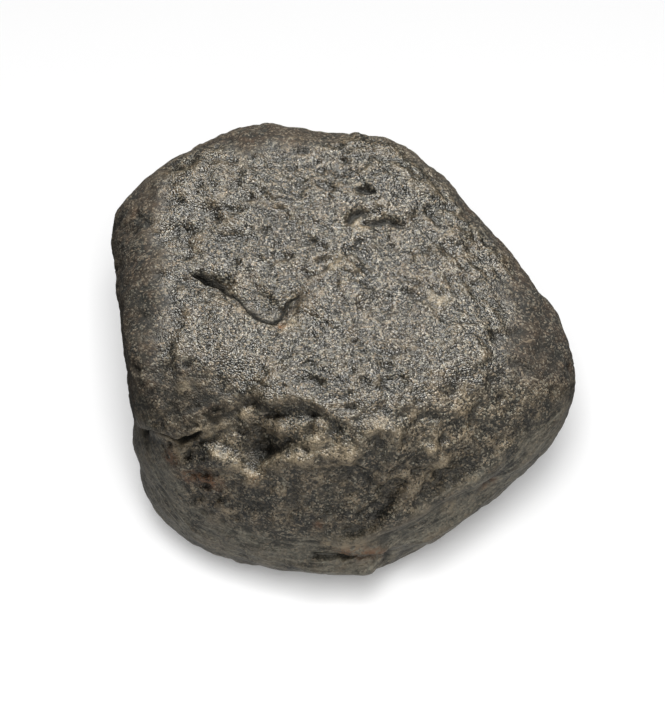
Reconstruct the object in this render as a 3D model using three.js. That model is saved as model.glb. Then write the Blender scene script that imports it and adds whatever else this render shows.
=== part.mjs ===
// Stony meteorite, an ordinary chondrite: one solid stone under a dark fusion crust.
// Millimetres, +Z up. The origin is on the ground, under the middle of the stone's outline.
//
// The stone is a worn block. Broad faces meet in rounded, wandering edges, and its skin carries
// shallow thumbprints, lumps, an open crack on the top and a ledge where a slab of crust ends.
// Places on the skin are given in millimetres from the ground point under the block's middle, and
// are only as exact as they need to be: each is moved in or out to the face that it lies on.
import * as THREE from "three";
import { ImprovedNoise } from "three/addons/math/ImprovedNoise.js";
import { mergeVertices } from "three/addons/utils/BufferGeometryUtils.js";

const MIDDLE_HEIGHT = 21;
// How crisp the worn edges between the faces are: 4 is a pebble, 20 a cut block.
const EDGE_SHARPNESS = 16;
// How far the edges wander from straight, as a share of their distance from the middle, and the
// length of one swing.
const EDGE_WANDER = 0.05;
const EDGE_WANDER_LENGTH = 15;

// compass: the way a face looks, in degrees from +X round towards +Y. rise: its tilt above the
// horizon, in degrees. reach: its distance from the middle.
const FACES = [
  { name: "top", compass: 268, rise: 85, reach: 20.4 },
  { name: "top_east_slope", compass: 350, rise: 70, reach: 24.3 },
  { name: "north_east_shoulder", compass: 32, rise: 45, reach: 29.2 },
  { name: "north_east_side", compass: 33, rise: 20, reach: 27.6 },
  { name: "back_shoulder", compass: 78, rise: 38, reach: 32.3 },
  { name: "north_west_shoulder", compass: 135, rise: 45, reach: 36.8 },
  { name: "north_west_bevel", compass: 120, rise: 35, reach: 38.4 },
  { name: "north_west_corner", compass: 150, rise: 22, reach: 45.0 },
  { name: "west_shoulder", compass: 181, rise: 40, reach: 36.6 },
  { name: "west_side", compass: 184, rise: -5, reach: 30.8 },
  { name: "south_west_under", compass: 217, rise: -26, reach: 37.4 },
  { name: "front_west_shoulder", compass: 252, rise: 35, reach: 32.2 },
  { name: "front_west", compass: 240, rise: 4, reach: 35.0 },
  { name: "front", compass: 264, rise: 10, reach: 32.8 },
  { name: "front_under", compass: 265, rise: -42, reach: 32.8 },
  { name: "front_east", compass: 294, rise: 15, reach: 31.6 },
  { name: "south_east_under", compass: 314, rise: -31, reach: 30.7 },
  { name: "east_nose", compass: 354, rise: -3, reach: 34.2 },
  { name: "east_under", compass: 336, rise: -19, reach: 35.2 },
  { name: "back", compass: 92, rise: -8, reach: 30.5 },
  { name: "back_west", compass: 138, rise: -16, reach: 35.0 },
  { name: "back_east", compass: 40, rise: -28, reach: 30.0 },
  { name: "back_under", compass: 95, rise: -46, reach: 28.5 },
  { name: "west_under", compass: 172, rise: -42, reach: 32.0 },
  { name: "east_foot", compass: 10, rise: -52, reach: 28.0 },
  { name: "south_sole", compass: 262, rise: -70, reach: 24.6 },
  { name: "east_sole", compass: 345, rise: -71, reach: 24.0 },
  { name: "north_sole", compass: 80, rise: -69, reach: 24.2 },
  { name: "west_sole", compass: 178, rise: -71, reach: 24.8 },
  { name: "underside", compass: 0, rise: -90, reach: 22.6 },
];

// Round spots. The skin sinks by depth in the middle of one, and rises where depth is negative.
const SPOTS = [
  { name: "top_west_hollow", at: [-23, 3.4, 41], radius: 3.4, depth: 1.0 },
  { name: "top_west_dimple", at: [-19.5, 7.4, 42], radius: 2.4, depth: 0.7 },
  { name: "top_pit", at: [2.8, 7.6, 42], radius: 1.7, depth: 1.0 },
  { name: "top_pit_tail", at: [6.5, 6.5, 42], radius: 2.0, depth: 0.8 },
  { name: "top_small_pit", at: [3.0, 11, 42], radius: 1.5, depth: 0.5 },
  { name: "back_rim_dip", at: [-1.5, 23, 42], radius: 5.0, depth: 0.9 },
  { name: "back_rim_peak", at: [-11, 24.5, 42], radius: 6.5, depth: -1.0 },
  { name: "north_east_swell", at: [16, 17, 36], radius: 7.0, depth: -1.1 },
  { name: "north_west_swell", at: [-32, 12, 33], radius: 8.0, depth: -1.3 },
  { name: "east_swell", at: [32, -13, 24], radius: 7.0, depth: -0.9 },
  { name: "west_bay", at: [-31, -10, 33], radius: 5.0, depth: 0.9 },
  { name: "east_pit", at: [22.4, -21, 35], radius: 2.2, depth: 0.7 },
  { name: "front_bay", at: [-16, -20.5, 40], radius: 4.0, depth: 0.8 },
  { name: "front_lobe", at: [-0.5, -25, 39], radius: 4.0, depth: -0.8 },
  { name: "front_vee", at: [-11.5, -27, 32], radius: 3.8, depth: 1.8 },
  { name: "front_lump", at: [0.5, -30, 33.4], radius: 2.8, depth: -1.0 },
  { name: "front_hollow", at: [1.0, -31, 29.5], radius: 2.6, depth: 0.8 },
  { name: "front_arch", at: [5, -28.3, 36], radius: 3.0, depth: -0.9 },
  { name: "front_arch_hollow", at: [9.5, -27, 36], radius: 2.6, depth: 0.7 },
  { name: "front_east_lump", at: [12.6, -27, 31.7], radius: 3.0, depth: -0.9 },
  { name: "front_east_hollow", at: [17, -24, 33], radius: 3.4, depth: 0.8 },
  { name: "foot_nub", at: [3.6, -33, 13], radius: 2.4, depth: -0.9 },
  { name: "foot_nub_west", at: [-1.5, -33.5, 13], radius: 2.8, depth: -0.6 },
  { name: "foot_nub_end", at: [8.9, -31.5, 11.5], radius: 3.2, depth: 2.0 },
  { name: "foot_slot", at: [-0.2, -33.5, 15], radius: 1.5, depth: 0.9 },
];

// Thumbprints: the shallow scoops that the air melted out of the falling stone.
const THUMBPRINT_DEPTH = 1.7;
const THUMBPRINTS = [
  { at: [-26, 22, 25], radius: 6 },
  { at: [-10, 30, 25], radius: 7 },
  { at: [7, 30, 30], radius: 5 },
  { at: [9, 29, 16], radius: 6 },
  { at: [23, 16, 15], radius: 7 },
  { at: [-33, 8, 20], radius: 6 },
  { at: [-31, -8, 14], radius: 5.5 },
  { at: [32, -6, 17], radius: 6 },
  { at: [-20, 25, 8], radius: 6 },
  { at: [14, -24, 5], radius: 5 },
  { at: [22, 2, 3], radius: 6 },
  { at: [-17, -20, 2], radius: 6 },
];

// Furrows run along a route on the skin, and where depth is negative they are ridges. Each bank
// is as wide as given, seen along the route: a narrow bank is a steep wall and a wide one a
// gentle slope.
const FURROWS = [
  {
    name: "crack",
    depth: 1.8,
    leftBank: 2.2,
    rightBank: 0.8,
    route: [[-21, -3.2, 41], [-17.4, -5.1, 41], [-14.3, -6.2, 41], [-12.1, -9.2, 41],
      [-9.7, -10.5, 41], [-7.8, -9, 41], [-6.2, -6.4, 41]],
  },
  {
    name: "crust_ledge",
    depth: 1.5,
    leftBank: 0.8,
    rightBank: 2.8,
    route: [[-33, -12, 27], [-26.9, -21, 28.3], [-21.8, -24.1, 30.6], [-17.5, -24.4, 33.5],
      [-13.3, -23.5, 35.1]],
  },
  {
    name: "vee_west_rim",
    depth: -1.0,
    leftBank: 1.0,
    rightBank: 2.4,
    route: [[-18, -26.4, 31], [-14.7, -28, 29.8], [-12.6, -29.3, 28.8], [-10.2, -29.8, 28.3]],
  },
  {
    name: "vee_east_rim",
    depth: -0.9,
    leftBank: 1.0,
    rightBank: 2.4,
    route: [[-9.6, -29.2, 29], [-7.1, -28.6, 31.6], [-5, -28.7, 33.2], [-1.5, -29, 34.2]],
  },
  {
    name: "front_wrinkle",
    depth: -0.6,
    leftBank: 1.2,
    rightBank: 2.2,
    route: [[-0.2, -33, 18], [5.4, -31.9, 21.5], [8.2, -30.7, 24.8], [9.8, -29.5, 28]],
  },
  {
    name: "south_east_wrinkle",
    depth: -0.8,
    leftBank: 1.3,
    rightBank: 2.4,
    route: [[6.1, -31.6, 21.8], [13, -28.9, 23], [17, -27, 24.3], [22, -24, 26.6]],
  },
  {
    name: "south_east_fold",
    depth: 0.8,
    leftBank: 2.0,
    rightBank: 1.2,
    route: [[8.3, -31.3, 15], [15.3, -27.9, 19.5], [21, -24, 21.5]],
  },
];
// A furrow starts and ends shallow, over this length.
const FURROW_END = 2.5;

// The waves of the skin, from broad swells to small lumps.
const WAVES = [
  { length: 19, height: 0.8 },
  { length: 8.5, height: 0.5 },
  { length: 4.6, height: 0.25 },
];

// The skin is a ball of triangles wrapped over the block. MESH_FOCUS draws its rows together
// around the crack and the ledge: by a share of their spacing, over a width in ball radii.
const MESH_ROWS = 19;
const MESH_FOCUS_WIDTH = 0.45;
const MESH_FOCUS = [
  { at: [-14, -7.5, 41], share: 0.5 },
  { at: [-20, -24.5, 31], share: 0.4 },
];

const noise = new ImprovedNoise();

// A wave of the given length through space, from about -1 to 1. Each layer has its own pattern.
function wave(place, length, layer) {
  const shift = 17.3 * layer;
  return noise.noise(place.x / length + shift, place.y / length - shift, place.z / length + shift);
}

function outward(compass, rise) {
  return new THREE.Vector3(1, 0, 0)
    .applyAxisAngle(new THREE.Vector3(0, 1, 0), THREE.MathUtils.degToRad(-rise))
    .applyAxisAngle(new THREE.Vector3(0, 0, 1), THREE.MathUtils.degToRad(compass));
}

const faceNormals = FACES.map((face) => outward(face.compass, face.rise));

// The direction that a face is looked up in: the true one, swung a little by the wandering edges.
function wandered(direction) {
  const place = direction.clone().multiplyScalar(MIDDLE_HEIGHT);
  const swing = new THREE.Vector3(
    wave(place, EDGE_WANDER_LENGTH, 1),
    wave(place, EDGE_WANDER_LENGTH, 2),
    wave(place, EDGE_WANDER_LENGTH, 3));
  return swing.multiplyScalar(EDGE_WANDER).add(direction).normalize();
}

// The point of the plain worn block in a direction from its middle.
function onBlock(direction) {
  const look = wandered(direction);
  let sum = 0;
  FACES.forEach((face, i) => {
    const facing = Math.max(look.dot(faceNormals[i]), 0);
    sum += Math.pow(facing / face.reach, EDGE_SHARPNESS);
  });
  return direction.clone().multiplyScalar(Math.pow(sum, -1 / EDGE_SHARPNESS));
}

// The direction of a place on the skin from the middle of the block.
function directionOf([x, y, z]) {
  return new THREE.Vector3(x, y, z - MIDDLE_HEIGHT).normalize();
}

const placed = (spot) => ({ ...spot, centre: onBlock(directionOf(spot.at)) });
const spots = SPOTS.map(placed);
const thumbprints = THUMBPRINTS.map(placed);
const furrows = FURROWS.map((furrow) => {
  const points = furrow.route.map((at) => onBlock(directionOf(at)));
  const lengths = points.slice(1).map((point, i) => point.distanceTo(points[i]));
  return { ...furrow, points, lengths, total: lengths.reduce((sum, length) => sum + length) };
});

function spotDepth(point, spot, depth) {
  return depth * Math.exp(-point.distanceToSquared(spot.centre) / (spot.radius * spot.radius));
}

// How deep a furrow is at a point: its bank comes from the nearest stretch of its route.
function furrowDepth(point, furrow) {
  const stretch = new THREE.Line3();
  const foot = new THREE.Vector3();
  let nearest = { distance: Infinity };
  let passed = 0;
  furrow.lengths.forEach((length, i) => {
    stretch.set(furrow.points[i], furrow.points[i + 1]);
    const share = stretch.closestPointToPointParameter(point, true);
    const distance = stretch.at(share, foot).distanceTo(point);
    if (distance < nearest.distance) {
      const side = stretch.delta(new THREE.Vector3()).cross(foot.subVectors(point, foot)).dot(point);
      nearest = { distance, side, along: passed + share * length };
    }
    passed += length;
  });
  const bank = nearest.side > 0 ? furrow.leftBank : furrow.rightBank;
  const toEnd = Math.min(nearest.along, furrow.total - nearest.along);
  const fade = THREE.MathUtils.smoothstep(toEnd, -FURROW_END, FURROW_END);
  return furrow.depth * fade * Math.exp(-((nearest.distance / bank) ** 2));
}

// The point of the finished skin in a direction from the middle.
function onSkin(direction) {
  const point = onBlock(direction);
  let depth = 0;
  for (const spot of spots) depth += spotDepth(point, spot, spot.depth);
  for (const print of thumbprints) depth += spotDepth(point, print, THUMBPRINT_DEPTH);
  for (const furrow of furrows) depth += furrowDepth(point, furrow);
  WAVES.forEach(({ length, height }, i) => {
    depth += height * wave(point, length, i + 4);
  });
  return point.addScaledVector(direction, -depth);
}

// Draws a direction of the ball towards each focus that it is near.
function focused(direction) {
  const drawn = direction.clone();
  for (const focus of MESH_FOCUS) {
    const away = direction.clone().sub(directionOf(focus.at));
    const pull = focus.share * Math.exp(-away.lengthSq() / MESH_FOCUS_WIDTH ** 2);
    drawn.addScaledVector(away, -pull);
  }
  return drawn.normalize();
}

function stoneGeometry() {
  const ball = new THREE.IcosahedronGeometry(1, MESH_ROWS);
  ball.deleteAttribute("normal");
  ball.deleteAttribute("uv");
  const geometry = mergeVertices(ball, 1e-5);
  const position = geometry.attributes.position;
  const direction = new THREE.Vector3();
  for (let i = 0; i < position.count; i++) {
    const point = onSkin(focused(direction.fromBufferAttribute(position, i)));
    // The resting spot is worn flat.
    position.setXYZ(i, point.x, point.y, Math.max(point.z + MIDDLE_HEIGHT, 0));
  }
  geometry.computeBoundingBox();
  const middle = geometry.boundingBox.getCenter(new THREE.Vector3());
  geometry.translate(-middle.x, -middle.y, 0);
  geometry.computeVertexNormals();
  return geometry;
}

const crust = new THREE.MeshStandardMaterial({ color: 0x4a4238, roughness: 0.55, metalness: 0 });
const stone = new THREE.Mesh(stoneGeometry(), crust);
stone.name = "stone";

const meteorite = new THREE.Group();
meteorite.add(stone);

export default meteorite;
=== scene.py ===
import math

import bpy
import numpy as np
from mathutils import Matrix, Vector, noise as wave


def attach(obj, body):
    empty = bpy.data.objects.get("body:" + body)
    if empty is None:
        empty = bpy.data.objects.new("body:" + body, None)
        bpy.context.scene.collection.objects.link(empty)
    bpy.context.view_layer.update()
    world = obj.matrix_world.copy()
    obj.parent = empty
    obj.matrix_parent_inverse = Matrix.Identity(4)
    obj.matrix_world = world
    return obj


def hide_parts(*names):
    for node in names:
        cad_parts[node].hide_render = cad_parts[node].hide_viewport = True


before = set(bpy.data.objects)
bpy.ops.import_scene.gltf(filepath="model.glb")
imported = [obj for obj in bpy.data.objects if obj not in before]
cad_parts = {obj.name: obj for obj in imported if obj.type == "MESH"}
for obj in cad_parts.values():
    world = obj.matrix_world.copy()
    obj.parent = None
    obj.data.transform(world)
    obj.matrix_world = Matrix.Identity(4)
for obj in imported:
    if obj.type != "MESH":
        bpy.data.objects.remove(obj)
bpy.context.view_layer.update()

# ------------------------------------------------------------------------------------ the stone
# An ordinary chondrite, a natural stone in one piece. Its skin starts as the construction's
# solid, with the doubled corners merged and every facet divided into a fine net, and is then
# worked like clay. All places on it are in millimetres.
MM = 0.001
MERGE = 0.002 * MM
SKIN_LEVELS = 2

bpy.ops.object.select_all(action="DESELECT")
stone = bpy.data.objects.new("crusted_stone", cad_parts["stone"].data.copy())
bpy.context.scene.collection.objects.link(stone)
bpy.context.view_layer.objects.active = stone
stone.select_set(True)
bpy.ops.object.mode_set(mode="EDIT")
bpy.ops.mesh.select_all(action="SELECT")
bpy.ops.mesh.remove_doubles(threshold=MERGE)
bpy.ops.mesh.customdata_custom_splitnormals_clear()
bpy.ops.object.mode_set(mode="OBJECT")

net = stone.modifiers.new("net", "SUBSURF")
net.levels = net.render_levels = SKIN_LEVELS
bpy.ops.object.modifier_apply(modifier=net.name)
bpy.ops.object.shade_smooth()

# The underside, which nothing marks, is thinned until the skin has lost an eighth of its faces.
UNDERSIDE = 9
FACES_KEPT = 0.88
low = [point.index for point in stone.data.vertices if point.co.z < UNDERSIDE * MM]
under = stone.vertex_groups.new(name="under")
under.add(low, 1, "REPLACE")
thin = stone.modifiers.new("thin", "DECIMATE")
thin.ratio = FACES_KEPT
thin.vertex_group = under.name
bpy.ops.object.modifier_apply(modifier=thin.name)
stone.vertex_groups.clear()

# The crack, its curled end, the ledge, where a slab of crust ends, and the top of the nub at the
# foot. The net is divided again along all of them, and once more along the crack.
CRACK = [(-20.8, -1.3, 40.6), (-19.8, -1.6, 40.4), (-19.1, -2.2, 40.2), (-17.8, -2.9, 39.9),
         (-16.4, -3.7, 39.8), (-14.8, -4.8, 40.0), (-13.9, -5.6, 40.0), (-13.2, -6.7, 40.0),
         (-12.3, -7.7, 39.9), (-11.3, -8.8, 39.8), (-10.2, -9.3, 39.8), (-9.2, -9.1, 39.6),
         (-8.4, -8.2, 39.2)]
CRACK_HOOK = [(-8.4, -8.2, 39.2), (-7.9, -6.7, 39.0), (-7.5, -5.8, 39.2), (-6.9, -5.2, 39.5),
              (-5.9, -4.9, 39.9)]
LEDGE = [(-27.8, -18.3, 28.4), (-26.2, -21.3, 31.0), (-25.1, -22.0, 31.2), (-23.5, -22.4, 30.9),
         (-22.1, -22.7, 30.8), (-20.7, -23.0, 32.1), (-19.6, -23.0, 33.2)]
NUB_TOP = [(-3.6, -32.2, 15.9), (-1.4, -32.2, 15.7), (0.4, -32.1, 15.4), (2.1, -32.1, 15.7),
           (3.9, -32.0, 15.6), (5.4, -31.6, 15.0)]


def near(middles, route, reach):
    """Which of these places lie within reach of a route."""
    found = np.zeros(len(middles), bool)
    for start, end in zip(np.array(route), np.array(route)[1:]):
        stretch = end - start
        share = np.clip((middles - start) @ stretch / (stretch @ stretch), 0, 1)
        found |= np.linalg.norm(middles - start - share[:, None] * stretch, axis=1) < reach
    return found


def refine(routes, reach):
    """Divides the net's faces once more within reach of these routes."""
    middles = np.empty(len(stone.data.polygons) * 3)
    stone.data.polygons.foreach_get("center", middles)
    middles = middles.reshape(-1, 3) / MM
    bpy.context.tool_settings.mesh_select_mode = (False, False, True)
    bpy.ops.object.mode_set(mode="EDIT")
    bpy.ops.mesh.select_all(action="DESELECT")
    bpy.ops.object.mode_set(mode="OBJECT")
    chosen = np.any([near(middles, route, reach) for route in routes], axis=0)
    stone.data.polygons.foreach_set("select", chosen)
    bpy.ops.object.mode_set(mode="EDIT")
    bpy.ops.mesh.subdivide(number_cuts=1)
    bpy.ops.object.mode_set(mode="OBJECT")


refine([CRACK, CRACK_HOOK, LEDGE, NUB_TOP], 1.3)
refine([CRACK, CRACK_HOOK], 0.8)


def skin_places():
    """Every point of the skin, in millimetres, one row each."""
    places = np.empty(len(stone.data.vertices) * 3)
    stone.data.vertices.foreach_get("co", places)
    return places.reshape(-1, 3) / MM


def skin_normals():
    """The outward direction at every point of the skin."""
    normals = np.empty(len(stone.data.vertices) * 3)
    stone.data.vertex_normals.foreach_get("vector", normals)
    return normals.reshape(-1, 3)


def set_skin(places):
    """Puts the skin's points at these places, and none below the ground."""
    places[:, 2] = np.maximum(places[:, 2], 0)
    stone.data.vertices.foreach_set("co", (places * MM).ravel())
    stone.data.update()


def rise(value, start, end):
    """0 before start, 1 after end, and a smooth rise between them."""
    share = np.clip((value - start) / (end - start), 0, 1)
    return share * share * (3 - 2 * share)


places = skin_places()
normals = skin_normals()
edges = np.empty(len(stone.data.edges) * 2, int)
stone.data.edges.foreach_get("vertices", edges)
edges = edges.reshape(-1, 2)
touching = np.bincount(edges.ravel(), minlength=len(places))


def smoothed(values, rounds):
    """Evens values out over the net: each round takes in the neighbours of every point."""
    for _ in range(rounds):
        total = values.copy()
        for column in range(values.shape[1]):
            total[:, column] += np.bincount(edges[:, 0], values[edges[:, 1], column], len(values))
            total[:, column] += np.bincount(edges[:, 1], values[edges[:, 0], column], len(values))
        values = total / (touching + 1)[:, None]
    return values


# The skin is pushed and pulled along its outward direction, evened out over this many rounds.
OUTWARD_ROUNDS = 20
outward = smoothed(normals, OUTWARD_ROUNDS)
outward /= np.linalg.norm(outward, axis=1)[:, None]

# Where the skin looks: up on the top, sideways on the front, and down below the widest line,
# where the crust flowed and froze smooth.
facing_up = rise(outward[:, 2], 0.5, 0.9)
facing_down = rise(-outward[:, 2], -0.05, 0.35)
facing_front = rise(-outward[:, 1], 0.2, 0.7) * (1 - facing_up)

# A place may lie this far above or below the skin and still count as on it.
RELIEF = 2


def along_skin(away):
    """How long these steps are along the skin, without what they rise or fall with its relief."""
    off = (away * outward).sum(axis=1)
    level = np.linalg.norm(away - outward * off[:, None], axis=1)
    return np.hypot(level, np.maximum(np.abs(off) - RELIEF, 0))


def measure(route):
    """How far each point of the skin is from a route, on which side, and how far from its ends."""
    route = np.array(route, float)
    distance = np.full(len(places), np.inf)
    side = np.zeros(len(places))
    run = np.zeros(len(places))
    passed = 0
    for start, end in zip(route, route[1:]):
        stretch = end - start
        length = np.linalg.norm(stretch)
        share = np.clip((places - start) @ stretch / length ** 2, 0, 1)
        away = places - start - share[:, None] * stretch
        new = along_skin(away)
        closer = new < distance
        distance[closer] = new[closer]
        side[closer] = (np.cross(stretch, away) * outward).sum(axis=1)[closer]
        run[closer] = passed + (share * length)[closer]
        passed += length
    return distance, side, np.minimum(run, passed - run)


def stroke(route, depth, left, right, fade=1.5):
    """Presses a furrow into the skin along a route, or raises a ridge where depth is negative.

    left and right are the widths of its banks, seen along the route: a narrow one is a steep
    wall. It fades in and out at its ends.
    """
    distance, side, to_end = measure(route)
    bank = np.where(side > 0, left, right)
    share = np.exp(-(distance / bank) ** 2) * rise(to_end, -fade, fade)
    places[:] -= outward * (depth * share)[:, None]
    return share


def dab(spot, radius, depth):
    """Presses a round hollow into the skin, or raises a lump where depth is negative."""
    share = np.exp(-(along_skin(places - np.array(spot, float)) / radius) ** 2)
    places[:] -= outward * (depth * share)[:, None]
    return share


def emboss(size, height, share):
    """Raises and lowers the skin by a cloudy pattern, of this grain and of this height in all."""
    set_skin(places)
    texture = bpy.data.textures.new("relief", "CLOUDS")
    texture.noise_scale = size * MM
    texture.noise_depth = 1
    group = stone.vertex_groups.new(name="share")
    for index, weight in enumerate(share.tolist()):
        group.add([index], weight, "REPLACE")
    relief = stone.modifiers.new("relief", "DISPLACE")
    relief.texture = texture
    relief.texture_coords = "LOCAL"
    relief.strength = height * MM
    relief.mid_level = 0.5
    relief.vertex_group = group.name
    bpy.ops.object.modifier_apply(modifier=relief.name)
    stone.vertex_groups.clear()
    bpy.data.textures.remove(texture)
    places[:] = skin_places()


LAYER_STEP = (31.7, 17.3, 5.9)


def pattern(width, depth, layer, turn=0):
    """Waves over the skin, from about -1 to 1, this wide from side to side and this deep.

    Each layer has waves of its own. turn is the angle in degrees from +X to the direction in
    which they are wide.
    """
    along = np.array([math.cos(math.radians(turn)), math.sin(math.radians(turn))])
    across = places[:, 1] * along[0] - places[:, 0] * along[1]
    turned = np.stack([places[:, :2] @ along, across], axis=1)
    shift = Vector([layer * step for step in LAYER_STEP])
    return np.array([wave.noise(Vector((x / width, y / depth, z / depth)) + shift)
                     for (x, y), z in zip(turned.tolist(), places[:, 2].tolist())])


# The rim of the top, between its skin and the front. Its edge is worn round at both ends, and the
# skin is evened out where the crack comes. Each route has the reach of that wear.
RIM_LEFT = [(-24.2, -17.3, 38.5), (-21.8, -18.3, 38.4), (-18.6, -18.8, 38.3), (-15.9, -19.1, 38.2),
            (-13.4, -20.1, 38.0)]
RIM_MIDDLE = [(-13.4, -20.1, 38.0), (-11.4, -21.1, 38.1), (-9.3, -22.2, 37.9), (-7.4, -21.8, 38.3),
              (-5.5, -22.1, 38.6), (-3.9, -22.7, 38.8), (-2.2, -24.1, 38.8), (0.0, -25.6, 38.2)]
RIM_RIGHT = [(2.5, -25.0, 38.6), (5.5, -24.4, 38.5), (8.9, -23.5, 38.5), (12.4, -22.6, 38.2),
             (15.8, -21.7, 37.5), (19.3, -20.3, 36.8), (22.2, -18.4, 36.0)]
WEAR_ROUNDS = 150
evened = smoothed(places, WEAR_ROUNDS)
for route, reach in ((RIM_LEFT, 2.5), (RIM_RIGHT, 4.0), (CRACK, 3.5)):
    places += (evened - places) * np.exp(-(measure(route)[0] / reach) ** 2)[:, None]

# The melt line goes round the stone, and below it the crust flowed and froze smooth. It is sharp in
# front, where it climbs to both ends, and wavers more on the other sides.
MELT_FRONT, MELT_BEHIND = 20.5, 17
RIGHT_CLIMB, LEFT_CLIMB = 0.33, 2.2
LEFT_CORNER = 21
in_front = rise(-outward[:, 1], -0.2, 0.4) * (1 - facing_up)
melt_line = (MELT_FRONT + RIGHT_CLIMB * np.maximum(places[:, 0], 0)
             + LEFT_CLIMB * np.maximum(-places[:, 0] - LEFT_CORNER, 0))
melt_line = (MELT_BEHIND + (melt_line - MELT_BEHIND) * in_front
             + (4 - 3 * in_front) * pattern(9, 9, 9))
sharpness = 4 - 2 * in_front
frozen = rise((melt_line - places[:, 2]) / sharpness, -0.75, 1.25) * (1 - facing_up)
frozen = np.maximum(facing_down, frozen)

# The skin all over: swells, wrinkles and pimples, roughest on the top and the front.
rough = (1 - 0.8 * frozen) * (0.5 + 0.5 * np.maximum(rise(outward[:, 2], 0.6, 0.94), in_front))
emboss(4.2, 1.2, 0.4 + 0.6 * rough)
emboss(2.2, 0.9, (0.62 + 0.38 * facing_front) * rough)
emboss(0.9, 0.32, rough)

# Small dents crowd together in places, fewer at the right end of the top and none by the crack.
# Wrinkles run along that right end.
DENT_DEPTH = 0.55
WRINKLE_HEIGHT = 0.40
WRINKLE_TURN = -56
crowded = rise(pattern(13, 13, 4), -0.45, 0.20)
dents = rise(pattern(1.8, 1.2, 1), 0.10, 0.60) + rise(pattern(3.4, 2.0, 2), 0.20, 0.70)
calm = 1 - np.exp(-(measure(CRACK)[0] / 5.0) ** 2)
to_right = rise(places[:, 0] + 0.4 * places[:, 1], 4, 16) * facing_up
dented = DENT_DEPTH * dents * crowded * rough * calm * (1 - 0.6 * to_right)
places -= outward * dented[:, None]
places += outward * (WRINKLE_HEIGHT * pattern(6, 1.1, 3, WRINKLE_TURN) * to_right)[:, None]

# Streaks run through the smooth crust, along the line from which it flowed. At the left they
# climb less on the side than on the front.
STREAK_HEIGHT = 0.20
STREAK_LENGTH, STREAK_WIDTH = 9, 0.9
climb = 0.3 + 0.9 * rise(-places[:, 1], 6, 18)
flow_depth = (MELT_FRONT - places[:, 2] + RIGHT_CLIMB * np.maximum(places[:, 0], 0)
              + climb * np.maximum(-places[:, 0] - LEFT_CORNER, 0))
streaks = np.array([wave.noise(Vector((x / STREAK_LENGTH, y / STREAK_LENGTH, depth / STREAK_WIDTH)))
                    for (x, y), depth in zip(places[:, :2].tolist(), flow_depth.tolist())])
places += outward * (STREAK_HEIGHT * streaks * frozen)[:, None]

# The crack: the top's skin slopes down into it from behind, and its near side is a sharp lip.
stroke(CRACK, 0.5, 1.4, 0.1)
stroke([(-20.4, -1.0, 40.5), (-18.4, -1.7, 40.1), (-16.4, -2.6, 39.9)], 0.3, 1.0, 0.9)
crack_share = np.max([stroke(CRACK, 0.8, 0.50, 0.26, fade=0.6),
                      stroke(CRACK[1:5], 0.6, 0.80, 0.30, fade=0.6),
                      stroke(CRACK[7:12], 0.6, 0.80, 0.30, fade=0.8),
                      0.4 * stroke(CRACK_HOOK, 0.35, 0.30, 0.22, fade=0.5)], axis=0)

# The ledge: the slab of crust overhangs the grainy stone under it.
LEDGE_BROW = [(-19.6, -23.2, 33.2), (-17.3, -23.2, 33.5), (-15.3, -23.0, 34.4),
              (-13.6, -22.9, 35.8), (-12.4, -22.6, 36.6)]
stroke(LEDGE, -0.6, 1.8, 0.30)
ledge_share = stroke([(x, y - 0.1, z - 0.6) for x, y, z in LEDGE], 1.2, 0.40, 0.40, fade=0.8)
stroke([(x, y, z + 1.3) for x, y, z in LEDGE_BROW], 0.4, 1.6, 0.8)
stroke(LEDGE_BROW, -0.4, 0.5, 1.4)
notch_share = dab((-27.8, -18.6, 27.3), 0.65, 1.6)

# The rim's edge: in the middle of the front the skin of the top ends in a scalloped edge and breaks
# off below it, and at the left a broad hollow lies under the rim.
stroke(RIM_MIDDLE, -0.3, 2.5, 0.6)
stroke([(-25.0, -19.5, 36.5), (-20.5, -21.0, 36.4), (-16.0, -21.8, 36.6)], 0.8, 2.2, 2.6)
stroke([(x, y - 1.0, z - 1.2) for x, y, z in RIM_MIDDLE], 0.8, 0.7, 2.4)

# The dent of the front, between two ridges that meet in a V.
stroke([(-17.8, -25.5, 31.3), (-16.9, -25.9, 30.9), (-15.4, -26.4, 30.4), (-14.0, -27.0, 29.6),
        (-12.7, -27.9, 28.9), (-11.3, -28.1, 28.8)], -0.9, 0.6, 1.3)
stroke([(-11.0, -27.2, 29.3), (-10.1, -26.9, 30.2), (-8.4, -27.1, 31.6), (-6.4, -27.5, 32.7),
        (-4.7, -28.2, 33.3), (-2.8, -28.0, 33.8)], -1.2, 0.7, 1.6)
dab((-11.9, -25.8, 31.6), 2.2, 0.9)
stroke([(-4.5, -27.2, 34.4), (-3.2, -26.9, 35.4), (-2.9, -26.0, 36.6), (-3.9, -25.2, 37.2)],
       -0.7, 0.7, 0.9)

# The lumps and hollows of the front, from the middle to the right.
stroke([(3.4, -27.6, 36.2), (4.1, -27.1, 37.1), (5.4, -26.5, 37.5), (7.2, -26.5, 36.6),
        (7.6, -26.9, 35.2)], -0.9, 1.2, 0.6)
stroke([(7.4, -27.2, 34.6), (7.2, -27.5, 32.8), (6.1, -28.2, 30.7), (5.3, -28.9, 28.2)],
       -0.7, 1.3, 1.1)
LUMPS = [((5.4, -27.3, 34.9), 1.1, 0.8), ((1.2, -28.9, 33.9), 1.6, -1.0),
         ((1.4, -28.9, 31.2), 1.5, 1.1), ((-1.9, -29.0, 31.8), 0.5, -0.4),
         ((0.2, -27.0, 36.7), 0.7, -0.4), ((12.7, -26.5, 32.8), 1.1, -0.8),
         ((14.1, -26.3, 29.4), 1.1, -0.9), ((13.9, -26.5, 27.2), 1.0, 0.7),
         ((13.5, -24.0, 36.6), 2.2, 0.7)]
for spot, radius, depth in LUMPS:
    dab(spot, radius, depth)
pit_share = dab((22.5, -19.1, 35.0), 0.7, 0.9)
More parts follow.
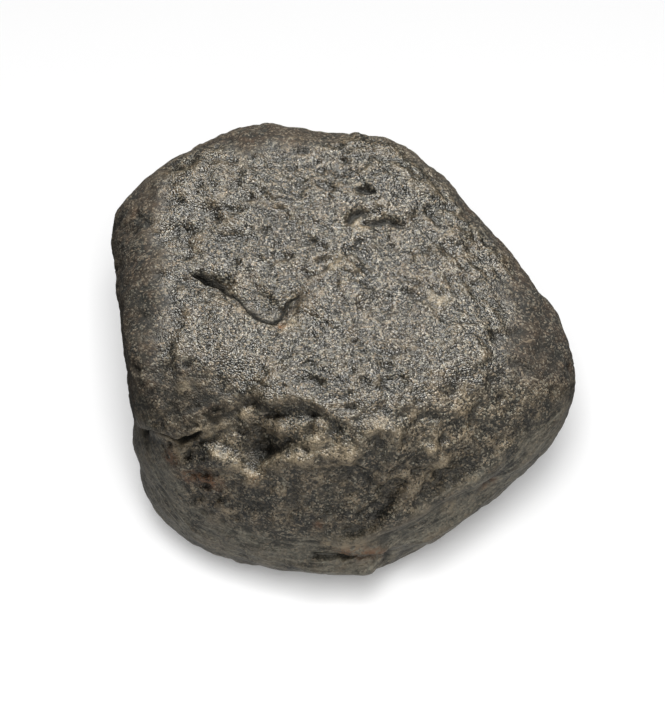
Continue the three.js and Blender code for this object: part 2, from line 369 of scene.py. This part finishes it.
dab((19.0, -22.5, 34.5), 1.8, 0.7)

# The wrinkles of the lower right, where the melted crust was pushed into folds, and a small rusty
# hollow beside them.
stroke([(-1.4, -31.7, 19.4), (0.8, -32.0, 19.5), (3.1, -32.1, 19.8), (4.0, -31.8, 21.1),
        (5.9, -31.0, 22.7), (7.5, -30.1, 24.5), (8.6, -29.3, 26.2), (10.4, -28.1, 28.1)],
       -0.9, 0.9, 1.8)
stroke([(6.3, -31.0, 22.5), (9.1, -30.0, 23.6), (11.1, -28.9, 23.9), (14.2, -27.5, 24.3),
        (17.6, -25.9, 25.5), (19.8, -24.5, 26.7), (21.6, -23.4, 27.5), (23.2, -22.1, 28.7)],
       -0.7, 0.9, 2.4)
stroke([(4.9, -31.6, 18.5), (9.9, -29.6, 20.0), (14.4, -27.9, 21.3), (18.5, -25.5, 22.6)],
       0.6, 1.8, 1.2)
stroke([(0.8, -32.2, 17.6), (4.9, -31.6, 17.2), (9.9, -28.9, 15.0), (14.4, -27.6, 16.3),
        (17.8, -25.8, 16.9), (21.3, -23.5, 18.0)], -0.4, 0.7, 1.0)
dab((20.9, -23.8, 21.7), 0.8, 0.6)

# The nub at the foot: a low slab that sticks out, grey on its face, with a rusty top, two small
# holes along it and a broken right end.
stroke(NUB_TOP, 0.5, 0.5, 0.35, fade=0.6)
stroke([(x, y, z + 1.3) for x, y, z in NUB_TOP[2:]], -0.5, 0.7, 0.6, fade=0.6)
stroke([(-5.7, -32.3, 13.4), (-2.8, -32.6, 13.9), (0.0, -32.6, 13.6), (2.8, -32.5, 13.4),
        (4.9, -31.8, 13.0)], -0.8, 1.2, 1.6, fade=0.8)
stroke([(6.7, -31.4, 15.0), (6.9, -30.8, 12.8), (6.6, -30.0, 10.8)], 1.5, 1.1, 0.3, fade=0.8)
HOLES = [[(-3.9, -32.2, 15.9), (-3.3, -32.2, 15.8)],
         [(-0.3, -32.2, 15.7), (0.5, -32.2, 15.3), (1.2, -32.1, 15.4)]]
hole_share = np.max([stroke(route, 0.5, 0.4, 0.25, fade=0.3) for route in HOLES], axis=0)

# The pits of the top: the places that each runs through, its width and its depth.
PITS = [([(2.1, 13.2, 42.7), (3.4, 13.5, 42.7), (4.6, 12.9, 42.7)], 0.45, 0.8),
        ([(1.3, 7.5, 42.1), (1.8, 9.0, 42.0), (2.9, 9.6, 42.0), (3.9, 9.1, 41.9)], 0.65, 1.0),
        ([(3.7, 7.6, 41.8), (5.3, 8.0, 41.6), (6.9, 8.3, 41.5), (8.6, 7.3, 41.5)], 0.5, 0.8),
        ([(-21.7, -16.6, 39.2), (-20.9, -16.2, 39.2)], 0.45, 1.0),
        ([(-26.0, -1.3, 40.9), (-25.4, -1.1, 40.9)], 0.4, 0.6),
        ([(-28.0, -3.1, 40.3), (-27.5, -3.2, 40.3)], 0.4, 0.6),
        ([(-28.0, -7.9, 39.7), (-27.2, -8.1, 39.7)], 0.45, 0.6),
        ([(10.7, -6.8, 40.1), (11.0, -7.1, 40.1)], 0.3, 0.5),
        ([(7.0, -7.9, 40.3), (7.6, -8.0, 40.3)], 0.35, 0.4),
        ([(2.7, -9.8, 40.3), (2.9, -10.0, 40.3)], 0.3, 0.4)]
for route, width, depth in PITS:
    pit_share = np.maximum(pit_share, stroke(route, depth, width, 0.8 * width, fade=width))

# The shallower dents of the top, in the same way.
DENTS = [([(5.1, 4.5, 41.2), (6.4, 4.9, 41.2)], 0.5, 0.5),
         ([(12.2, 10.0, 41.6), (13.4, 10.6, 41.5)], 0.6, 0.5),
         ([(10.0, 8.8, 41.8), (10.9, 8.8, 41.8)], 0.5, 0.4),
         ([(-21.3, 14.0, 43.0), (-20.1, 14.0, 43.0)], 0.5, 0.6),
         ([(-13.4, 13.8, 42.9), (-12.2, 13.3, 42.9)], 0.5, 0.5),
         ([(-22.2, 9.3, 42.1), (-21.4, 10.2, 42.2), (-20.2, 10.4, 42.2), (-18.6, 9.4, 42.2),
           (-17.7, 7.9, 42.2)], 1.0, 0.5),
         ([(-24.3, 5.6, 41.4), (-22.7, 6.9, 41.5)], 1.0, 0.8),
         ([(-21.9, 1.6, 41.0), (-21.3, 2.1, 41.0)], 0.5, 0.6),
         ([(-13.3, 6.4, 41.9), (-12.6, 6.4, 41.9)], 0.5, 0.5),
         ([(-11.4, 6.6, 41.8), (-10.6, 6.3, 41.8)], 0.6, 0.7),
         ([(-8.3, 8.5, 42.1), (-7.4, 8.6, 42.1)], 0.5, 0.5),
         ([(-6.7, 12.3, 42.8), (-5.5, 12.0, 42.8)], 0.7, 0.5),
         ([(-4.9, 4.1, 41.8), (-3.6, 4.1, 41.8)], 0.6, 0.5),
         ([(-9.8, 3.6, 41.4), (-8.3, 3.5, 41.4)], 0.7, 0.6),
         ([(-2.8, 6.4, 42.2), (-1.7, 6.6, 42.2)], 0.5, 0.4),
         ([(-10.3, 0.3, 40.9), (-9.4, 0.5, 40.9)], 0.5, 0.4),
         ([(-19.8, -6.3, 40.6), (-18.8, -6.3, 40.6)], 0.6, 0.5),
         ([(-22.9, -10.6, 40.2), (-21.8, -10.2, 40.2)], 0.7, 0.7),
         ([(9.5, -13.0, 39.5), (10.5, -12.8, 39.5)], 0.4, 0.4),
         ([(21.5, -10.2, 38.3), (23.5, -10.1, 37.8), (25.3, -8.5, 37.2)], 0.8, 0.7)]
for route, width, depth in DENTS:
    stroke(route, depth, 1.2 * width, 0.7 * width, fade=width)

set_skin(places)

# What the skin carries for the crust's colour: how deep in a hollow or high on a ridge each point
# lies, with the painted shade of the hollows, how smoothly the crust froze there and how far below
# its melt line, whether it is on the front or on a bevel, how far it is open to the stone inside,
# which is painted dark as shade, and where it is rubbed or rusted.


def tell(name, values):
    """Stores a value for every point of the skin, for the material to read."""
    attribute = stone.data.attributes.new(name, "FLOAT", "POINT")
    attribute.data.foreach_set("value", np.clip(values, 0, 1).astype(np.float32))


def relief(rounds):
    """How far each point stands out from the skin around it, in millimetres."""
    return ((places - smoothed(places, rounds)) * outward).sum(axis=1)


def patch(spots):
    """Where the skin is stained round these places: each has a place and a radius."""
    share = np.zeros(len(places))
    for spot, radius in spots:
        away = along_skin(places - np.array(spot, float))
        share = np.maximum(share, np.exp(-(away / radius) ** 2))
    return share


# Tan where the crust has rubbed off: beside the crack, on the ridges of the front, above the nub.
RUBBED = [((-7.4, -10.0, 40.2), 1.1), ((-9.0, -10.3, 40.1), 0.8), ((-6.6, -9.0, 40.3), 0.7),
          ((-21.9, -19.4, 37.6), 1.1), ((13.6, -5.3, 39.9), 1.4), ((-1.0, 0.4, 41.5), 1.2),
          ((2.6, 7.2, 41.6), 1.1), ((12.7, -26.5, 32.8), 1.1), ((14.1, -26.3, 29.4), 1.4),
          ((-19.2, -23.3, 33.2), 1.3), ((-16.6, -23.2, 33.8), 1.3), ((-13.6, -22.9, 35.8), 1.2),
          ((-21.5, -23.6, 30.4), 1.2), ((-23.0, -23.6, 28.6), 1.3), ((-3.4, -26.9, 35.3), 1.3),
          ((-4.6, -27.4, 34.2), 1.2), ((-8.4, -27.2, 31.7), 1.2), ((-5.8, -27.8, 32.9), 1.4),
          ((-17.2, -25.8, 31.1), 0.6), ((-15.9, -26.3, 30.7), 0.6), ((-14.6, -26.9, 30.0), 0.7),
          ((-13.4, -27.4, 29.3), 0.6), ((-12.4, -28.0, 28.9), 0.6), ((1.2, -28.9, 33.9), 1.5),
          ((4.6, -26.8, 37.3), 1.2), ((7.4, -26.9, 35.6), 1.1), ((-1.9, -29.0, 31.8), 0.6),
          ((0.4, -32.2, 18.6), 1.4), ((3.0, -32.2, 18.8), 1.3), ((-2.0, -31.9, 18.4), 1.0),
          ((15.6, -27.4, 20.3), 1.0)]
# Rust, where iron in the stone has bled through the crust.
RUSTED = [((-19.0, -26.2, 26.0), 1.4), ((-21.0, -25.6, 25.3), 1.2), ((-17.4, -26.8, 26.0), 1.2),
          ((-11.8, -28.2, 28.6), 0.5), ((-24.0, -23.8, 27.4), 1.1), ((0.4, -32.2, 17.0), 1.0),
          ((1.7, -32.2, 17.0), 1.3), ((3.0, -32.1, 16.8), 1.3), ((4.3, -31.9, 16.4), 1.3),
          ((5.4, -31.6, 15.8), 1.0), ((2.4, -32.2, 15.9), 0.9), ((-8.4, -9.9, 40.1), 0.7),
          ((-3.0, -31.0, 22.0), 0.7), ((20.9, -23.8, 21.7), 1.0)]
# Where the crust is darkest, as its own dark brown and as painted shade: the left front corner,
# the left edge of the top and the right tip.
DARKEST_AND_SHADED = [((-22.1, -20.6, 36.5), 4.5), ((-26.5, -19.0, 35.5), 4.0), ((-18.0, -22.0, 35.8), 3.5),
            ((-28.2, -10.4, 39.3), 3.5), ((-28.6, -5.5, 39.3), 2.5), ((31.0, -12.7, 33.3), 4.5)]
# Painted shade, where it is darker than round about: the middle and the right of the front.
PAINTED_SHADE_SPOTS = [((-12.6, -29.0, 24.5), 4.0), ((-6.0, -30.0, 25.0), 3.0), ((26.6, -19.8, 28.6), 4.0),
         ((14.0, -25.0, 36.3), 3.0), ((-1.4, -32.5, 14.6), 2.4), ((2.2, -32.5, 14.2), 2.4)]

# A hollow or ridge that stands out this far, in its own surroundings, is a full one.
FINE_RELIEF = 0.12
BROAD_RELIEF = 0.6
fine_relief = relief(6) / FINE_RELIEF
broad_relief = relief(60) / BROAD_RELIEF
# Painted shade for the hollows, by how deep they lie, and for the darkest and the shaded places.
tell("hollow", 0.95 * patch(DARKEST_AND_SHADED) + 0.55 * patch(PAINTED_SHADE_SPOTS) - fine_relief * 0.6
     - broad_relief * 0.5)
tell("ridge", fine_relief * 0.5 + broad_relief * 0.5)

# The bevels round the top start at its left, right and back rim, on a wavering line, and end part
# of the way down the sides. Below them the sides are mottled like the front.
LEFT_RIM, RIGHT_RIM, BACK_RIM = -25.5, 24.5, 21.5
bevel = (1 - rise(outward[:, 2], 0.60, 0.94)) * (1 - rise(-outward[:, 1], 0.35, 0.75))
bevel = np.maximum(bevel, patch(DARKEST_AND_SHADED))
past_rim = np.max([LEFT_RIM - places[:, 0], 0.8 * (places[:, 0] - RIGHT_RIM),
                   places[:, 1] - BACK_RIM - np.maximum(places[:, 0] + 4, 0)], axis=0)
past_rim = rise(past_rim + 2.5 * pattern(5, 5, 6), -2.5, 2.5)
bevel = np.maximum(bevel, past_rim * (1 - facing_front))
height = places[:, 2] + 5 * pattern(9, 9, 8) + 3 * pattern(3, 3, 10)
sides = (1 - facing_up) * (1 - rise(height, 20, 31))
front = rise(-outward[:, 1] + 0.25 * pattern(4, 3, 7), 0.35, 0.65)
tell("bevel", bevel * rise(height, 22, 32))
tell("front", np.maximum(front, sides))

# The depth below the melt line is told as a share, from 25 mm above that line to 35 mm below it.
BELOW_START = -25
BELOW_SCALE = 60
tell("frozen_smooth", frozen)
tell("below", (flow_depth - BELOW_START) / BELOW_SCALE)
# Painted shade: the crack, the ledge's underside, the notch, the holes and the pits are darkened.
shaded_opening = np.max([crack_share, ledge_share, notch_share, 0.3 * hole_share, 0.25 * pit_share],
                 axis=0)
tell("shaded_opening", rise(shaded_opening, 0.03, 0.35))
tell("rubbed", patch(RUBBED))
tell("rusted", 1.3 * patch(RUSTED))

# ---------------------------------------------------------------------------- the fusion crust
# The crust is a dark glassy skin with a fine sugary grain. It is nearly black where it is fresh,
# brown where it has weathered, tan where it has rubbed off, and rust-red where iron has bled
# through. Below the melt line it is satin, with thin pale lines where it flowed, and its paler
# grey there is a painted sheen. Hollows and openings carry painted shade, and the pale grains and
# lines are partly painted glints.
crust = bpy.data.materials.new("fusion_crust")
crust.use_nodes = True
nodes, links = crust.node_tree.nodes, crust.node_tree.links
shader = nodes["Principled BSDF"]
shader.inputs["IOR"].default_value = 1.5
shader.inputs["Specular IOR Level"].default_value = 0.5
place = nodes.new("ShaderNodeTexCoord")


def read(name):
    """A value that the skin carries."""
    node = nodes.new("ShaderNodeAttribute")
    node.attribute_name = name
    return node.outputs["Fac"]


def noise(scale, detail, rough, where=None):
    """A cloudy pattern with this many waves to the metre, on the stone unless where is given."""
    node = nodes.new("ShaderNodeTexNoise")
    node.inputs["Scale"].default_value = scale
    node.inputs["Detail"].default_value = detail
    node.inputs["Roughness"].default_value = rough
    links.new(where or place.outputs["Object"], node.inputs["Vector"])
    return node.outputs["Fac"]


def fit(value, low, high, to_low=0.0, to_high=1.0):
    """Maps a value from one range to another, and holds it there."""
    node = nodes.new("ShaderNodeMapRange")
    node.inputs["From Min"].default_value = low
    node.inputs["From Max"].default_value = high
    node.inputs["To Min"].default_value = to_low
    node.inputs["To Max"].default_value = to_high
    links.new(value, node.inputs["Value"])
    return node.outputs["Result"]


def graded(name, at_none, at_full):
    """Goes from one number to another with a value that the skin carries."""
    return fit(read(name), 0, 1, at_none, at_full)


def calculate(operation, first, second):
    """One sum of two values; the second may be a plain number."""
    node = nodes.new("ShaderNodeMath")
    node.operation = operation
    links.new(first, node.inputs[0])
    if isinstance(second, (int, float)):
        node.inputs[1].default_value = second
    else:
        links.new(second, node.inputs[1])
    return node.outputs["Value"]


def times(first, second):
    """One value times another, or times a plain number."""
    return calculate("MULTIPLY", first, second)


def layered(first, second, share):
    """Two patterns in one: the first at this share, and the second at what is left."""
    return calculate("ADD", times(first, share), times(second, 1 - share))


def ramp(value, stops):
    """Maps a value to colours: stops are pairs of place and colour."""
    node = nodes.new("ShaderNodeValToRGB")
    while len(node.color_ramp.elements) < len(stops):
        node.color_ramp.elements.new(0.5)
    for element, (at, colour) in zip(node.color_ramp.elements, stops):
        element.position = at
        element.color = (*colour, 1)
    links.new(value, node.inputs["Fac"])
    return node.outputs["Color"]


def blend(share, first, second):
    """Lays the second colour over the first, by a share."""
    node = nodes.new("ShaderNodeMix")
    node.data_type = "RGBA"
    links.new(share, node.inputs["Factor"])
    for socket, colour in ((node.inputs["A"], first), (node.inputs["B"], second)):
        if isinstance(colour, tuple):
            socket.default_value = (*colour, 1)
        else:
            links.new(colour, socket)
    return node.outputs["Result"]


def grains(scale):
    """Grains of crystal, this many to the metre: how far each point is from the middle of its own
    grain, and a shade and a hue of its own for every grain."""
    node = nodes.new("ShaderNodeTexVoronoi")
    node.inputs["Scale"].default_value = scale
    links.new(place.outputs["Object"], node.inputs["Vector"])
    shade = nodes.new("ShaderNodeSeparateColor")
    links.new(node.outputs["Color"], shade.inputs["Color"])
    return node.outputs["Distance"], shade.outputs["Red"], shade.outputs["Green"]


def flow_lines(length, width):
    """Thin lines in the smooth crust, of this length and width in millimetres."""
    spot = nodes.new("ShaderNodeSeparateXYZ")
    links.new(place.outputs["Object"], spot.inputs["Vector"])
    spread = nodes.new("ShaderNodeCombineXYZ")
    for axis in ("X", "Y"):
        links.new(times(spot.outputs[axis], 1 / (length * MM)), spread.inputs[axis])
    links.new(times(read("below"), BELOW_SCALE / width), spread.inputs["Z"])
    return noise(1, 3, 0.6, where=spread.outputs["Vector"])


BLACK = (0.004, 0.004, 0.003)
GREEN_BLACK = (0.008, 0.008, 0.005)
DARK_GREY = (0.009, 0.009, 0.008)
OLIVE_GREY = (0.016, 0.015, 0.011)
FRONT_GREY = (0.024, 0.022, 0.015)
PAINTED_SHEEN_GREY = (0.100, 0.096, 0.078)
DARK_BROWN = (0.016, 0.009, 0.004)
BROWN = (0.024, 0.017, 0.011)
FRONT_BROWN = (0.060, 0.044, 0.025)
RUST = (0.125, 0.058, 0.024)
WORN_TAN = (0.110, 0.088, 0.060)
CREAM = (0.240, 0.198, 0.138)
PALE_GRAIN = (0.225, 0.220, 0.185)
TAN_GRAIN = (0.255, 0.200, 0.142)

# The top is mottled, the front and the sides are blotched and paler, the crust below the melt line
# is satin with flow lines and a grey painted sheen, and the bevels are dark brown.
from_middle, shade, hue = grains(3900)
mottle = layered(noise(130, 4, 0.62), noise(480, 4, 0.72), 0.45)
blotches = layered(noise(230, 3, 0.55), noise(700, 4, 0.70), 0.6)
lines = flow_lines(3.5, 0.55)
top_colour = ramp(mottle, [(0.43, BLACK), (0.47, DARK_GREY), (0.51, OLIVE_GREY), (0.55, BROWN),
                           (0.63, WORN_TAN)])
front_colour = ramp(blotches, [(0.45, GREEN_BLACK), (0.49, FRONT_GREY), (0.53, FRONT_BROWN),
                               (0.61, CREAM)])
# The smooth crust's paler grey is a painted sheen.
satin_and_sheen_colour = ramp(layered(blotches, lines, 0.7), [(0.41, GREEN_BLACK), (0.45, FRONT_GREY),
                                                    (0.51, PAINTED_SHEEN_GREY), (0.64, WORN_TAN)])
# The pale flow lines are partly real and partly painted glints.
satin_and_sheen_colour = blend(fit(lines, 0.55, 0.66, 0, 0.6), satin_and_sheen_colour, PALE_GRAIN)
bevel_colour = ramp(mottle, [(0.45, BLACK), (0.51, DARK_BROWN), (0.57, BROWN),
                             (0.64, FRONT_BROWN)])
front_colour = blend(read("frozen_smooth"), front_colour, satin_and_sheen_colour)
colour = blend(read("front"), top_colour, front_colour)
colour = blend(read("bevel"), colour, bevel_colour)

# Its grains: some are pale and some black, and they are fainter on the bevels and where the crust
# froze smooth. They are partly the grain's own shades and partly painted glints and painted shade.
grainy = times(graded("bevel", 0.75, 0.42), graded("frozen_smooth", 1, 0.5))
grainy = times(grainy, graded("front", 1, 1.3))
pale_grain_and_glint = blend(hue, PALE_GRAIN, TAN_GRAIN)
colour = blend(times(fit(shade, 0.60, 1.0), grainy), colour, pale_grain_and_glint)
colour = blend(times(fit(shade, 0.50, 0.1), grainy), colour, BLACK)

# Ridges are worn tan. Rubbed and rusted places have ragged edges. Hollows and cracks are painted
# dark as painted shade.
worn = times(read("ridge"), fit(noise(420, 3, 0.6), 0.42, 0.60))
colour = blend(times(worn, graded("bevel", 0.45, 0.10)), colour, WORN_TAN)
rust_specks = times(read("bevel"), fit(noise(330, 3, 0.6), 0.56, 0.70))
colour = blend(times(rust_specks, 0.12), colour, RUST)
ragged = fit(noise(1300, 3, 0.7), 0.39, 0.56, 0.0, 0.9)
colour = blend(times(read("rubbed"), ragged), colour, CREAM)
colour = blend(times(read("rusted"), ragged), colour, RUST)
# Painted shade: the hollows and the shaded places, and then the openings, go towards black.
colour = blend(times(read("hollow"), 0.75), colour, BLACK)
colour = blend(times(read("shaded_opening"), 0.88), colour, BLACK)
links.new(colour, shader.inputs["Base Color"])

# The top is the glossiest, then the front. Bevels and openings are dull.
dull = calculate("MAXIMUM", graded("shaded_opening", 0.30, 0.95), graded("bevel", 0.30, 0.90))
dull = calculate("MAXIMUM", dull, graded("front", 0.30, 0.42))
links.new(dull, shader.inputs["Roughness"])


def bump(name, height, distance, over=None):
    """Relief too fine for the net, this high in millimetres, on top of another one."""
    node = nodes.new("ShaderNodeBump")
    node.name = name
    node.inputs["Strength"].default_value = 1.0
    node.inputs["Distance"].default_value = distance * MM
    links.new(height, node.inputs["Height"])
    if over:
        links.new(over.outputs["Normal"], node.inputs["Normal"])
    return node


# Pimples and crystal grain are melted away below the melt line, where ripples follow the flow.
# Each grain is a low dome, highest in its middle.
unmelted = times(graded("frozen_smooth", 1, 0.25), graded("bevel", 1, 0.9))
pimples = bump("pimples", times(noise(1500, 2, 0.6), unmelted), 0.15)
ripples = bump("ripples", times(lines, read("frozen_smooth")), 0.20, over=pimples)
grain = bump("grain", times(from_middle, unmelted), 0.10, over=ripples)
grain.invert = True
links.new(grain.outputs["Normal"], shader.inputs["Normal"])

stone.data.materials.clear()
stone.data.materials.append(crust)
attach(stone, "root")
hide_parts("stone")

# ------------------------------------------------------------------------------- the studio
# A pale sweep with two lights of its own: a broad one overhead, and a small one beside the camera
# that keeps the shadow close to the stone. What the stone mirrors of the sweep is bright in front
# and dim behind. Three softboxes light the stone, from above and behind, from the right, and low
# from the front. The camera looks down on the stone from the front.
FLOOR_SIZE = 6.0
bpy.ops.mesh.primitive_plane_add(size=FLOOR_SIZE)
floor = bpy.context.active_object
floor.name = "floor"
sweep = bpy.data.materials.new("pale_sweep")
sweep.use_nodes = True
sweep_nodes, sweep_links = sweep.node_tree.nodes, sweep.node_tree.links
paper = sweep_nodes["Principled BSDF"]
paper.inputs["Roughness"].default_value = 0.9
paper.inputs["Specular IOR Level"].default_value = 0.0
paper.inputs["Emission Color"].default_value = (1, 1, 1, 1)

# What the stone mirrors is a glow that turns dim between two lines, one just in front of the stone
# and one just behind its middle. What the camera sees is paper with a little light of its own.
FRONT_GLOW, BACK_GLOW = 0.40, 0.12
BRIGHT_TO, DIM_FROM = -0.035, 0.01
PAPER_WHITE, PAPER_GLOW = 0.80, 0.15
seen = sweep_nodes.new("ShaderNodeLightPath")
on_floor = sweep_nodes.new("ShaderNodeTexCoord")
across = sweep_nodes.new("ShaderNodeSeparateXYZ")
sweep_links.new(on_floor.outputs["Object"], across.inputs["Vector"])
glow = sweep_nodes.new("ShaderNodeMapRange")
glow.name = "glow"
for socket, value in (("From Min", BRIGHT_TO), ("From Max", DIM_FROM),
                      ("To Min", FRONT_GLOW), ("To Max", BACK_GLOW)):
    glow.inputs[socket].default_value = value
sweep_links.new(across.outputs["Y"], glow.inputs["Value"])
for socket, seen_value in (("Base Color", PAPER_WHITE), ("Emission Strength", PAPER_GLOW)):
    level = sweep_nodes.new("ShaderNodeMapRange")
    level.name = socket
    level.inputs["To Min"].default_value = 0
    level.inputs["To Max"].default_value = seen_value
    sweep_links.new(seen.outputs["Is Camera Ray"], level.inputs["Value"])
    sweep_links.new(level.outputs["Result"], paper.inputs[socket])
sweep_links.new(glow.outputs["Result"], sweep_nodes["Base Color"].inputs["To Min"])
floor.data.materials.append(sweep)

# The lamps look at the middle of the stone, and the camera at a place close to it.
STONE_MIDDLE = Vector((0, 0, 0.02))
AIM = Vector((-1.14, 1.27, 20.9)) * MM


def aim(thing, target):
    """Turns a camera or a light to look at a place."""
    thing.rotation_euler = (target - thing.location).to_track_quat("-Z", "Y").to_euler()


def softbox(name, lit, width, depth, energy, location, colour=(1, 1, 1)):
    """A soft light that looks at the stone, and lights one thing alone."""
    lamp = bpy.data.lights.new(name, "AREA")
    lamp.shape = "RECTANGLE"
    lamp.size = width
    lamp.size_y = depth
    lamp.energy = energy
    lamp.color = colour
    box = bpy.data.objects.new(name, lamp)
    box.location = location
    aim(box, STONE_MIDDLE)
    bpy.context.scene.collection.objects.link(box)
    box.light_linking.receiver_collection = bpy.data.collections.new(name + "_lights")
    box.light_linking.receiver_collection.objects.link(lit)


softbox("sky", floor, 1.6, 1.6, 4.4, (0.0, -0.116, 0.445))
softbox("spot", floor, 0.12, 0.19, 2.3, (0.0, -0.242, 0.447))
softbox("softbox", stone, 0.27, 0.22, 4.8, (0.03, 0.165, 0.445), (1, 0.98, 0.92))
softbox("side", stone, 0.34, 0.34, 0.6, (0.26, -0.03, 0.40), (1, 0.96, 0.90))
softbox("fill", stone, 0.90, 0.20, 1.7, (0.1, -0.46, 0.11), (1, 0.95, 0.84))

ROOM_LIGHT = 0.08
room = bpy.data.worlds.new("room")
room.use_nodes = True
background = room.node_tree.nodes["Background"]
background.inputs["Color"].default_value = (1, 1, 1, 1)
background.inputs["Strength"].default_value = ROOM_LIGHT
bpy.context.scene.world = room

CAMERA_RISE = math.radians(50)
CAMERA_DISTANCE = 0.43
camera = bpy.data.objects.new("camera", bpy.data.cameras.new("camera"))
camera.data.lens = 150
camera.data.sensor_width = 36
away = Vector((0, -math.cos(CAMERA_RISE), math.sin(CAMERA_RISE)))
camera.location = AIM + away * CAMERA_DISTANCE
aim(camera, AIM)
bpy.context.scene.collection.objects.link(camera)
bpy.context.scene.camera = camera
bpy.context.scene.view_settings.view_transform = "Standard"
